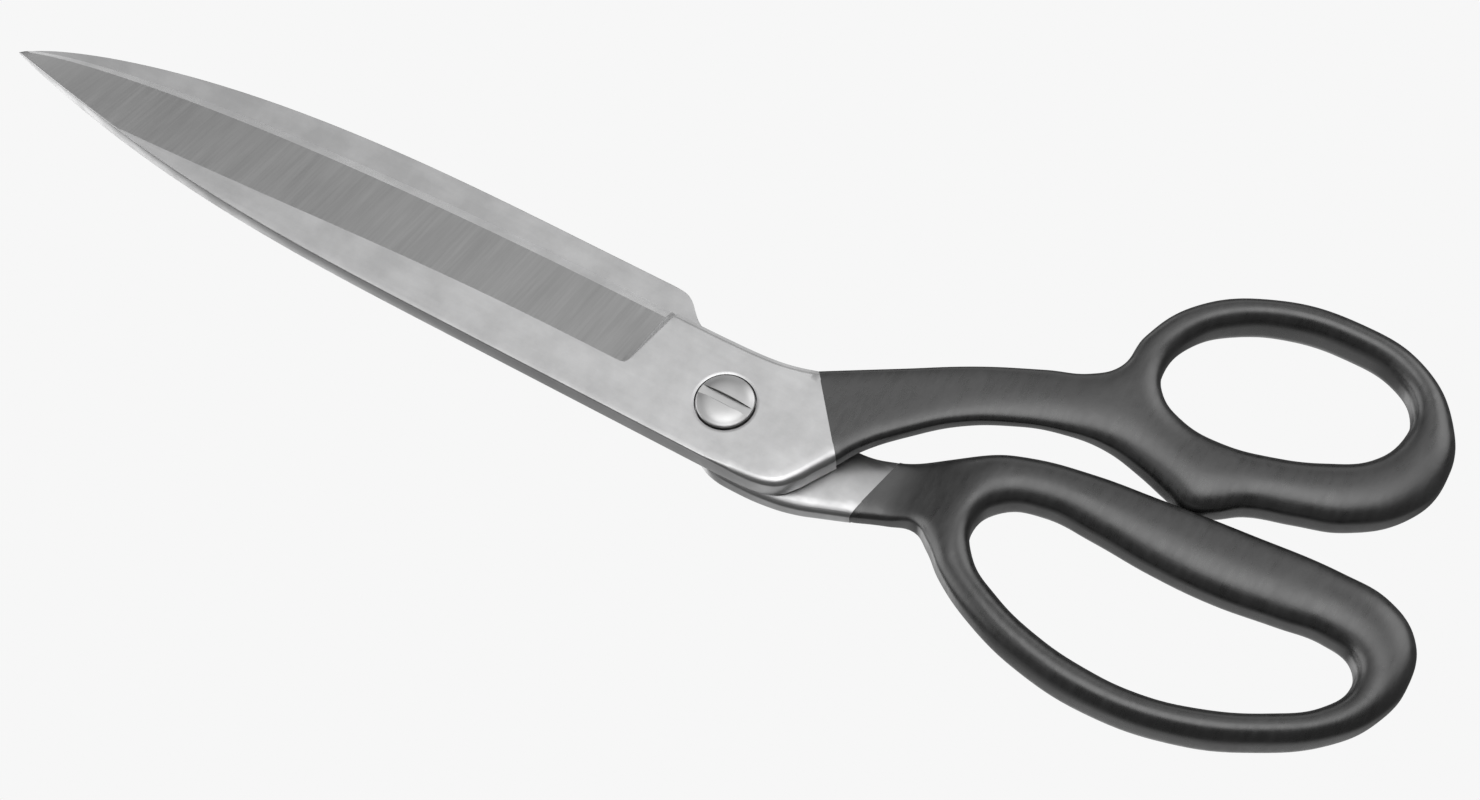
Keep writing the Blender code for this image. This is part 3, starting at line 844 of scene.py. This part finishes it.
class Nodes:
    """Short names for the few node types that the finishes use."""

    def __init__(self, name):
        self.material = bpy.data.materials.new(name)
        self.material.use_nodes = True
        self.tree = self.material.node_tree
        self.shader = self.tree.nodes["Principled BSDF"]
        self.place = self.tree.nodes.new("ShaderNodeTexCoord").outputs["Object"]

    def join(self, source, target):
        if hasattr(source, "links"):
            self.tree.links.new(source, target)
        else:
            target.default_value = source

    def noise(self, stretch, scale, detail=3.0, roughness=0.55):
        """Noise per metre. A larger stretch along an axis makes it finer along that axis."""
        mapping = self.tree.nodes.new("ShaderNodeMapping")
        mapping.inputs["Scale"].default_value = stretch
        self.join(self.place, mapping.inputs["Vector"])
        noise = self.tree.nodes.new("ShaderNodeTexNoise")
        noise.inputs["Scale"].default_value = scale
        noise.inputs["Detail"].default_value = detail
        noise.inputs["Roughness"].default_value = roughness
        self.join(mapping.outputs["Vector"], noise.inputs["Vector"])
        return noise.outputs["Fac"]

    def spread(self, value, low, high, start=0.3, end=0.7):
        """value between start and end becomes low to high."""
        node = self.tree.nodes.new("ShaderNodeMapRange")
        node.inputs["From Min"].default_value = start
        node.inputs["From Max"].default_value = end
        node.inputs["To Min"].default_value = low
        node.inputs["To Max"].default_value = high
        self.join(value, node.inputs["Value"])
        return node.outputs["Result"]

    def math(self, operation, a, b):
        node = self.tree.nodes.new("ShaderNodeMath")
        node.operation = operation
        self.join(a, node.inputs[0])
        self.join(b, node.inputs[1])
        return node.outputs[0]

    def grey(self, value, tint=(1.0, 1.0, 1.0)):
        node = self.tree.nodes.new("ShaderNodeCombineColor")
        for channel, share in zip(("Red", "Green", "Blue"), tint):
            self.join(self.math("MULTIPLY", value, share), node.inputs[channel])
        return node.outputs["Color"]

    def plus(self, a, b):
        return self.math("ADD", a, b)

    def bump(self, height, depth_mm, normal=None):
        node = self.tree.nodes.new("ShaderNodeBump")
        node.inputs["Strength"].default_value = 1.0
        node.inputs["Distance"].default_value = depth_mm * MM
        self.join(height, node.inputs["Height"])
        if normal is not None:
            self.join(normal, node.inputs["Normal"])
        return node.outputs["Normal"]

    def finish(self, color, roughness, metallic, normal, specular=0.5):
        self.join(color, self.shader.inputs["Base Color"])
        self.join(roughness, self.shader.inputs["Roughness"])
        self.join(metallic, self.shader.inputs["Metallic"])
        self.join(normal, self.shader.inputs["Normal"])
        self.join(specular, self.shader.inputs["Specular IOR Level"])
        return self.material


def satin_steel(name, level, rough=0.34):
    """Finely ground steel with faint clouds and a light grain along the blade."""
    n = Nodes(name)
    clouds = n.noise((1, 1, 1), 130, 5, 0.6)
    grain = n.noise((60, 1400, 60), 1, 3)
    cloud_tone = n.spread(clouds, level * 0.9, level * 1.1, 0.36, 0.64)
    tone = n.plus(cloud_tone, n.spread(grain, -0.008, 0.008))
    gloss = n.plus(n.spread(clouds, rough + 0.05, rough - 0.04), n.spread(grain, -0.03, 0.03))
    normal = n.bump(grain, 0.0006)
    return n.finish(n.grey(tone, (1.0, 1.0, 1.005)), gloss, 1.0, normal)


def brushed_steel(name, level, rough=0.38):
    """The ground slope: fine grinding lines straight across the blade."""
    n = Nodes(name)
    lines = n.noise((2000, 70, 70), 1, 4, 0.7)
    bands = n.noise((420, 25, 25), 1, 2)
    clouds = n.noise((1, 1, 1), 60, 2)
    line_tone = n.spread(lines, level - 0.018, level + 0.018, 0.38, 0.62)
    tone = n.plus(line_tone, n.spread(bands, -0.012, 0.012))
    tone = n.plus(tone, n.spread(clouds, -0.012, 0.012))
    gloss = n.plus(n.spread(lines, rough - 0.03, rough + 0.03), n.spread(bands, -0.015, 0.015))
    normal = n.bump(lines, 0.0015)
    return n.finish(n.grey(tone), gloss, 1.0, normal)


def turned_steel(name, level, rough=0.28):
    """Screw, nut and washers: smooth metal with faint random handling marks."""
    n = Nodes(name)
    clouds = n.noise((1, 1, 1), 250, 3)
    marks = n.noise((1, 1, 1), 900, 2)
    tone = n.plus(n.spread(clouds, level - 0.02, level + 0.02), n.spread(marks, -0.006, 0.006))
    gloss = n.spread(clouds, rough + 0.03, rough - 0.03)
    return n.finish(n.grey(tone), gloss, 1.0, n.bump(marks, 0.0003))


def bronze(name):
    n = Nodes(name)
    clouds = n.noise((1, 1, 1), 500, 4)
    tone = n.spread(clouds, 0.45, 0.6)
    return n.finish(n.grey(tone, (1.0, 0.72, 0.4)), n.spread(clouds, 0.45, 0.32), 1.0,
                    n.bump(clouds, 0.004))


def black_coat(name, level):
    """Satin black coating with faint unevenness, fine strokes across the part and a soft orange peel."""
    n = Nodes(name)
    clouds = n.noise((1, 1, 1), 70, 4)
    peel = n.noise((1, 1, 1), 330, 3)
    strokes = n.noise((850, 240, 260), 1, 4, 0.65)
    cloud_tone = n.spread(clouds, level * 0.8, level * 1.2)
    tone = n.plus(cloud_tone, n.spread(strokes, -level * 0.3, level * 0.3))
    gloss = n.plus(n.spread(clouds, 0.27, 0.35), n.spread(strokes, -0.06, 0.06))
    normal = n.bump(strokes, 0.022, n.bump(peel, 0.03))
    return n.finish(n.grey(tone), gloss, 0.0, normal, 1.0)


# ---------------------------------------------------------------- light, floor and camera

def direction(azimuth, elevation):
    """Where a light or a camera is seen from the shears: azimuth 0 is -Y and 90 is +X."""
    a, e = math.radians(azimuth), math.radians(elevation)
    return Vector((math.sin(a) * math.cos(e), -math.cos(a) * math.cos(e), math.sin(e)))


def studio_world(base, glows):
    """Soft studio light: a base level and round soft glows (azimuth, elevation, inner, outer, level)."""
    world = bpy.data.worlds.new("studio")
    world.use_nodes = True
    tree = world.node_tree
    view = tree.nodes.new("ShaderNodeTexCoord").outputs["Generated"]
    total = None
    for azimuth, elevation, inner, outer, level in glows:
        dot = tree.nodes.new("ShaderNodeVectorMath")
        dot.operation = "DOT_PRODUCT"
        tree.links.new(view, dot.inputs[0])
        dot.inputs[1].default_value = direction(azimuth, elevation)
        fade = tree.nodes.new("ShaderNodeMapRange")
        fade.interpolation_type = "SMOOTHSTEP"
        fade.inputs["From Min"].default_value = math.cos(math.radians(outer))
        fade.inputs["From Max"].default_value = math.cos(math.radians(inner))
        fade.inputs["To Max"].default_value = level
        tree.links.new(dot.outputs["Value"], fade.inputs["Value"])
        add = tree.nodes.new("ShaderNodeMath")
        add.operation = "ADD"
        add.inputs[1].default_value = base
        if total is not None:
            tree.links.new(total, add.inputs[1])
        tree.links.new(fade.outputs["Result"], add.inputs[0])
        total = add.outputs[0]
    tree.nodes["Background"].inputs["Color"].default_value = (1, 1, 1, 1)
    tree.links.new(total, tree.nodes["Background"].inputs["Strength"])
    bpy.context.scene.world = world


def pale_floor(tone):
    """A wide plain floor just below the shears. It gives off an even light and shows no shadow.

    The shears neither mirror it nor get light from it.
    """
    side = 20.0
    mesh = bpy.data.meshes.new("floor")
    corners = [(-side, -side), (side, -side), (side, side), (-side, side)]
    mesh.from_pydata([(x, y, cad_low.z - FLOOR_DROP) for x, y in corners], [], [(0, 1, 2, 3)])
    floor = add_piece("floor", mesh)
    material = bpy.data.materials.new("pale_floor")
    material.use_nodes = True
    shader = material.node_tree.nodes["Principled BSDF"]
    shader.inputs["Base Color"].default_value = (0, 0, 0, 1)
    shader.inputs["Specular IOR Level"].default_value = 0
    shader.inputs["Emission Color"].default_value = (tone, tone, tone, 1)
    shader.inputs["Emission Strength"].default_value = 1
    mesh.materials.append(material)
    floor.visible_glossy = False
    floor.visible_diffuse = False
    floor.visible_shadow = False


def camera(azimuth, elevation, roll, distance, aim, focal):
    """A camera at a distance in metres from the place that it looks at."""
    data = bpy.data.cameras.new("camera")
    data.lens = focal
    data.sensor_width = 36.0
    data.clip_start = 0.01
    obj = bpy.data.objects.new("camera", data)
    bpy.context.scene.collection.objects.link(obj)
    back = direction(azimuth, elevation)
    turn = (-back).to_track_quat("-Z", "Y").to_matrix().to_4x4()
    obj.matrix_world = (Matrix.Translation(aim + back * distance) @ turn
                        @ Matrix.Rotation(math.radians(-roll), 4, "Z"))
    bpy.context.scene.camera = obj


# ---------------------------------------------------------------- assembly

def dress(piece, body, node, slot, *materials):
    """Give a piece its finishes and let it stand for a CAD node."""
    for material in materials:
        piece.data.materials.append(material)
    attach(piece, body)
    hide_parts(node)


def build():
    """Make all eight pieces. The blades get their materials in the order land, ground, bevel and step; the
    bevel's and the step's are lightened with painted sheen.
    """
    land = satin_steel("land_steel", 0.51)
    ground = brushed_steel("ground_steel", 0.45)
    # Bevel: its honed finish, made lighter than the land to paint the sheen that it shows.
    bevel = satin_steel("bevel_steel_painted_sheen", 0.75, 0.28)
    # Step's wall: a lighter, rougher copy of the land's steel, which paints its sheen.
    step = satin_steel("step_wall_painted_sheen", 0.62, 0.5)
    rear_land = satin_steel("rear_land_steel", 0.48)
    screw_steel = turned_steel("screw_steel", 0.47, 0.37)
    # Dark grey for the slot's walls: painted shade in the slot.
    slot_painted_shade = turned_steel("slot_painted_shade", 0.10, 0.5)
    nut_steel = turned_steel("nut_steel", 0.55)
    spring_steel = turned_steel("spring_steel", 0.42, 0.33)

    dress(front_blade(), "front_half", "front_blade", "blade_steel", land, ground, bevel, step)
    dress(rear_blade(), "rear_half", "rear_blade", "rear_blade_steel", rear_land, ground, bevel, step)
    thumb = settle(bow_handle("thumb_bow", FRONT_OUTLINE, THUMB_HOLE, FRONT_STEEL_END, front_faces,
                              24, 48))
    dress(thumb, "front_half", "front_handle", "front_handle_coating", black_coat("front_coat", 0.02))
    finger = settle(bow_handle("finger_bow", REAR_OUTLINE, FINGER_HOLE, REAR_STEEL_END, rear_faces,
                               30, 48))
    dress(finger, "rear_half", "rear_handle", "rear_handle_coating", black_coat("rear_coat", 0.018))
    dress(pivot_screw(), "tension_adjuster", "pivot_screw", "screw_steel", screw_steel, slot_painted_shade)
    dress(plain_washer("bronze_friction_washer", "friction_washer", 3.3, 0.1), "front_half",
          "friction_washer", "washer_bronze", bronze("washer_bronze"))
    dress(spring_ring(), "rear_half", "spring_washer", "spring_steel", spring_steel)
    dress(hexagon_nut(), "rear_half", "lock_nut", "nut_steel", nut_steel)


build()
pale_floor(0.93)
studio_world(0.12, [
    (205, 78, 5, 58, 0.72),     # wide soft light overhead, which the flat faces mirror
    (36, 88, 3, 30, 1.9),       # its bright middle
    (155, 30, 6, 31, 1.9),      # soft box on the right
    (288, 6, 8, 40, 2.0),       # soft box on the left
    (345, -42, 6, 30, 0.25),    # low fill on the left
    (203, 15, 6, 20, 0.6),      # thin far light that the bevel mirrors
    (230, 6, 5, 16, 1.0),       # the same light further left, for the bevel near the tip
    (316, 44, 5, 18, 0.5),      # weak light on the near left
    (243, -35, 3, 12, 0.9),     # bounce that the step's wall mirrors
    (40, -65, 10, 40, 0.4),     # bounce from below on the handles' side
    (217, -82, 6, 26, 0.5),     # stands for the floor, in the undersides
    (-88, -50, 5, 22, 1.5),     # bounce from below past the tip
])
camera(azimuth=36.66, elevation=61.62, roll=6.27, distance=0.3955,
       aim=PIVOT + Vector((0.00056, 0.00315, 0.0)), focal=60.8)
bpy.context.scene.view_settings.view_transform = "Standard"
